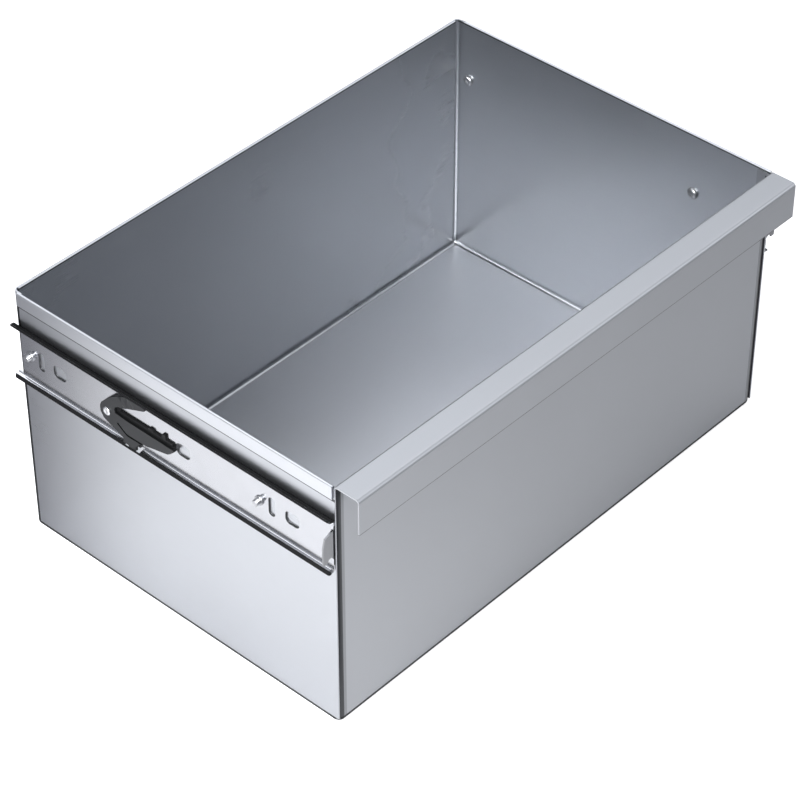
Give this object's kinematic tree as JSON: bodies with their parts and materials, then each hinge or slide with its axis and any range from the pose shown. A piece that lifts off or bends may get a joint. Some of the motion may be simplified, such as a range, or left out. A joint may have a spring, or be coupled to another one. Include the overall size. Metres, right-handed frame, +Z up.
{
  "type": "storage drawer",
  "caption": "Folded stainless steel storage drawer with a full-width grip and the drawer members of telescopic slides, each with a release lever.",
  "frame": {"origin": "under the middle of the whole drawer, grip and slide members included, on the plane that it stands on", "axes": "+X to the right as seen from the front, +Y to the rear (the grip is at -Y), +Z up"},
  "size_m": [0.557, 0.375, 0.25],
  "materials": {
    "tub_steel": "fine brushed stainless steel, satin",
    "front_steel": "fine brushed stainless steel, satin",
    "zinc_steel": "bright zinc-plated steel",
    "rivet_steel": "bright zinc-plated steel",
    "screw_steel": "bright zinc-plated steel",
    "nut_steel": "zinc-plated steel",
    "black_plastic": "moulded black plastic, satin"
  },
  "bodies": {
    "drawer": {"floor_panel": "tub_steel", "back_wall": "tub_steel", "front_panel": "front_steel", "left_side_wall": "tub_steel", "left_slide_member": "zinc_steel", "left_lever_rivet": "rivet_steel", "left_slide_screws": "screw_steel", "left_slide_nuts": "nut_steel", "right_side_wall": "tub_steel", "right_slide_member": "zinc_steel", "right_lever_rivet": "rivet_steel", "right_slide_screws": "screw_steel", "right_slide_nuts": "nut_steel"},
    "left_lever": {"left_release_lever": "black_plastic", "left_lever_spring": "black_plastic"},
    "right_lever": {"right_release_lever": "black_plastic", "right_lever_spring": "black_plastic"}
  },
  "joints": [
    {"name": "left_lever_pivot", "type": "hinge", "parent": "drawer", "child": "left_lever", "pos_m": [-0.2696, 0.07765, 0.1894], "axis": [-1, 0, 0], "range_deg": [0, 8], "stiffness_Nm_per_rad": 0.05, "springref_deg": -11.46, "deforming": ["left_lever_spring"]},
    {"name": "right_lever_pivot", "type": "hinge", "parent": "drawer", "child": "right_lever", "pos_m": [0.2696, 0.07765, 0.1894], "axis": [-1, 0, 0], "range_deg": [0, 8], "stiffness_Nm_per_rad": 0.05, "springref_deg": -11.46, "deforming": ["right_lever_spring"]}
  ]
}
